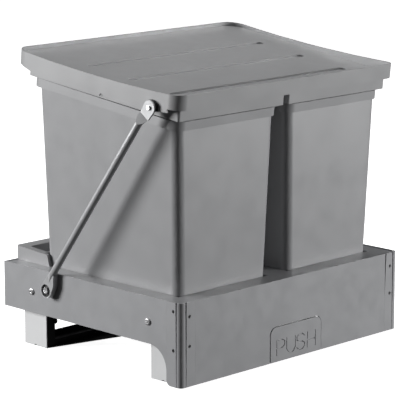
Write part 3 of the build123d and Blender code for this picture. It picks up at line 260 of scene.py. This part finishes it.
def add_floor(material):
    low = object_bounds()[0]
    mesh = bpy.data.meshes.new("floor")
    corners = [(x, y, low[2]) for x, y in ((-1, -1), (1, -1), (1, 1), (-1, 1))]
    mesh.from_pydata([(x * floor_half, y * floor_half, z) for x, y, z in corners], [], [(0, 1, 2, 3)])
    floor = bpy.data.objects.new("floor", mesh)
    floor.data.materials.append(material)
    bpy.context.collection.objects.link(floor)
    floor.visible_diffuse = False
    floor.visible_glossy = False
    floor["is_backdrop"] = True


class Finish:
    """A node material that starts from one Principled shader."""

    def __init__(self, name, colour, roughness, metallic=0.0):
        self.material = bpy.data.materials.new(name)
        self.material.use_nodes = True
        self.tree = self.material.node_tree
        self.shader = self.tree.nodes["Principled BSDF"]
        self.shader.inputs["Base Color"].default_value = (*colour, 1)
        self.shader.inputs["Roughness"].default_value = roughness
        self.shader.inputs["Metallic"].default_value = metallic
        self.place = self.tree.nodes.new("ShaderNodeTexCoord").outputs["Object"]

    def link(self, start, end):
        self.tree.links.new(start, end)

    def noise(self, scale, detail, stretch):
        """Noise in object space, this many lumps to the metre."""
        mapping = self.tree.nodes.new("ShaderNodeMapping")
        mapping.inputs["Scale"].default_value = stretch
        texture = self.tree.nodes.new("ShaderNodeTexNoise")
        texture.inputs["Scale"].default_value = scale
        texture.inputs["Detail"].default_value = detail
        self.link(self.place, mapping.inputs["Vector"])
        self.link(mapping.outputs["Vector"], texture.inputs["Vector"])
        return texture.outputs["Fac"]

    def spread(self, source, low, high):
        """The source's middle range, mapped to low and high."""
        node = self.tree.nodes.new("ShaderNodeMapRange")
        node.inputs["From Min"].default_value = noise_low
        node.inputs["From Max"].default_value = noise_high
        node.inputs["To Min"].default_value = low
        node.inputs["To Max"].default_value = high
        self.link(source, node.inputs["Value"])
        return node.outputs["Result"]

    def mottle(self, source, dark, light):
        """Base colour that wanders between two tones."""
        ramp = self.tree.nodes.new("ShaderNodeValToRGB")
        ramp.color_ramp.elements[0].position = noise_low
        ramp.color_ramp.elements[0].color = (*dark, 1)
        ramp.color_ramp.elements[1].position = noise_high
        ramp.color_ramp.elements[1].color = (*light, 1)
        self.link(source, ramp.inputs["Fac"])
        self.link(ramp.outputs["Color"], self.shader.inputs["Base Color"])

    def gloss(self, source, roughness, span):
        """Roughness that wanders about its middle value."""
        below, above = span
        self.link(self.spread(source, roughness + below, roughness + above), self.shader.inputs["Roughness"])

    def bump(self, source, depth, strength):
        """Surface relief, this deep in metres."""
        node = self.tree.nodes.new("ShaderNodeBump")
        node.inputs["Strength"].default_value = strength
        node.inputs["Distance"].default_value = depth
        self.link(source, node.inputs["Height"])
        previous = self.shader.inputs["Normal"].links
        if previous:
            self.link(previous[0].from_socket, node.inputs["Normal"])
        self.link(node.outputs["Normal"], self.shader.inputs["Normal"])


def shades(colour, spread):
    return [tuple(c * factor for c in colour) for factor in (1 - spread, 1 + spread)]


def powder_coat(name, colour, roughness, tone):
    """Satin coat with orange peel, slow changes of tone and a little fine speckle."""
    finish = Finish(name, colour, roughness)
    finish.mottle(finish.noise(*coat_cloud), *shades(colour, tone))
    finish.gloss(finish.noise(*coat_sheen), roughness, coat_gloss)
    finish.bump(finish.noise(*coat_speckle), *coat_speckle_relief)
    finish.bump(finish.noise(*coat_peel), *coat_peel_relief)
    return finish.material


def moulded_plastic(name, colour, roughness, grain, depth, tone):
    """Moulded plastic with the fine grain of its mould and faint flow marks."""
    finish = Finish(name, colour, roughness)
    finish.mottle(finish.noise(*plastic_cloud), *shades(colour, tone))
    finish.gloss(finish.noise(*plastic_sheen), roughness, plastic_gloss)
    finish.bump(finish.noise(grain, plastic_grain_detail, even), depth, plastic_grain_strength)
    finish.bump(finish.noise(*plastic_flow), *plastic_flow_relief)
    return finish.material


def plated_steel(name, colour, roughness):
    """Zinc plate: a rolled grain along the runners and a cloudy spangle."""
    finish = Finish(name, colour, roughness, full_metal)
    finish.mottle(finish.noise(*zinc_cloud), *shades(colour, zinc_tone))
    finish.gloss(finish.noise(*zinc_sheen), roughness, zinc_gloss)
    finish.bump(finish.noise(*zinc_roll), *zinc_roll_relief)
    return finish.material


def turned_steel(name, colour, roughness):
    """Bright turned and polished steel with fine scratches."""
    finish = Finish(name, colour, roughness, full_metal)
    finish.mottle(finish.noise(*steel_cloud), *shades(colour, steel_tone))
    finish.gloss(finish.noise(*steel_sheen), roughness, steel_gloss)
    finish.bump(finish.noise(*steel_scratch), *steel_scratch_relief)
    return finish.material


def metal_paint(name, colour, roughness, metallic):
    """Silver paint: fine flake in the tone, orange peel and a half-metal sheen."""
    finish = Finish(name, colour, roughness, metallic)
    finish.mottle(finish.noise(*paint_flake), *shades(colour, paint_tone))
    finish.gloss(finish.noise(*paint_sheen), roughness, paint_gloss)
    finish.bump(finish.noise(*paint_peel), *paint_peel_relief)
    return finish.material


def glowing_floor():
    """Pale studio floor that gives back a little light of its own, so shadows on it stay faint."""
    finish = Finish("floor", floor_colour, floor_roughness)
    finish.mottle(finish.noise(*floor_cloud), *shades(floor_colour, floor_tone))
    finish.shader.inputs["Emission Color"].default_value = (*backdrop_colour, 1)
    finish.shader.inputs["Emission Strength"].default_value = floor_glow
    return finish.material


def make_finishes():
    """One material for each slot, from the function of its kind."""
    kinds = (
        (powder_coat, coats),
        (moulded_plastic, plastics),
        (plated_steel, zinc_plates),
        (turned_steel, turned_steels),
        (metal_paint, metal_paints),
    )
    return {slot: make(slot, *values) for make, table in kinds for slot, values in table.items()}


def letter_strokes():
    """Flat bars along the strokes of the word, long enough to cut into the tab's face."""
    corners, faces = [], []
    for letter, lines in letters.items():
        left, right = letter_places[letter]
        for line in lines:
            spots = [
                Vector((left + x * (right - left), 0, letter_low + z * (letter_high - letter_low)))
                for x, z in line
            ]
            for start, end in zip(spots, spots[1:]):
                along = (end - start).normalized() * stroke_width / 2
                aside = along.cross(Vector((0, 1, 0)))
                first = len(corners)
                for depth in (-stroke_lead, stroke_depth):
                    level = Vector((0, front_y + depth, 0))
                    corners += [
                        start - along - aside + level,
                        end + along - aside + level,
                        end + along + aside + level,
                        start - along + aside + level,
                    ]
                for ring in bar_faces:
                    faces.append([first + i for i in ring])
    mesh = bpy.data.meshes.new("letter_strokes")
    mesh.from_pydata([tuple(corner) for corner in corners], [], faces)
    return bpy.data.objects.new("letter_strokes", mesh)


def engrave(piece):
    """Cuts the word into the tab's face."""
    strokes = letter_strokes()
    bpy.context.collection.objects.link(strokes)
    cut = piece.modifiers.new("letters", "BOOLEAN")
    cut.operation = "DIFFERENCE"
    cut.solver = "EXACT"
    cut.use_self = True
    cut.object = strokes
    seen = piece.evaluated_get(bpy.context.evaluated_depsgraph_get())
    mesh = bpy.data.meshes.new_from_object(seen)
    piece.modifiers.remove(cut)
    piece.data = mesh
    bpy.data.objects.remove(strokes)


def soften(node, width):
    """A copy of a CAD node's mesh whose sharp edges are rounded, to stand for that node."""
    mesh = bpy.data.meshes.new(f"soft_{node}")
    solid = bmesh.new()
    solid.from_mesh(frame["nodes"][node].data)
    bmesh.ops.remove_doubles(solid, verts=solid.verts, dist=merge_gap)
    bmesh.ops.dissolve_limit(solid, angle_limit=flat_angle, verts=solid.verts, edges=solid.edges)
    sharp = [e for e in solid.edges if len(e.link_faces) == 2 and e.calc_face_angle(0) > sharp_angle]
    bmesh.ops.bevel(
        solid,
        geom=sharp,
        offset=width,
        offset_type="OFFSET",
        segments=bevel_segments,
        profile=bevel_profile,
        affect="EDGES",
        clamp_overlap=True,
        harden_normals=False,
    )
    solid.to_mesh(mesh)
    solid.free()
    piece = bpy.data.objects.new(f"soft_{node}", mesh)
    bpy.context.collection.objects.link(piece)
    for face in mesh.polygons:
        face.use_smooth = True
    mesh.set_sharp_from_angle(angle=sharp_angle)
    weighted = piece.modifiers.new("flat_faces", "WEIGHTED_NORMAL")
    weighted.keep_sharp = True
    return piece


def stand_for(piece, node, finishes):
    piece.data.materials.clear()
    piece.data.materials.append(finishes[slot_of[node]])
    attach(piece, body_of[node])
    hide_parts(node)


def dress_nodes(finishes):
    """A soft-edged copy of each node whose slot has an edge width, and a finish for every node."""
    for node, solid in frame["nodes"].items():
        slot = slot_of[node]
        if slot in edge_widths:
            piece = soften(node, fine_edges.get(node, edge_widths[slot]))
            if node == "push_tab":
                engrave(piece)
            stand_for(piece, node, finishes)
        solid.data.materials.clear()
        solid.data.materials.append(finishes[slot])


def main():
    add_camera()
    add_lights()
    finishes = make_finishes()
    dress_nodes(finishes)
    add_floor(glowing_floor())


main()
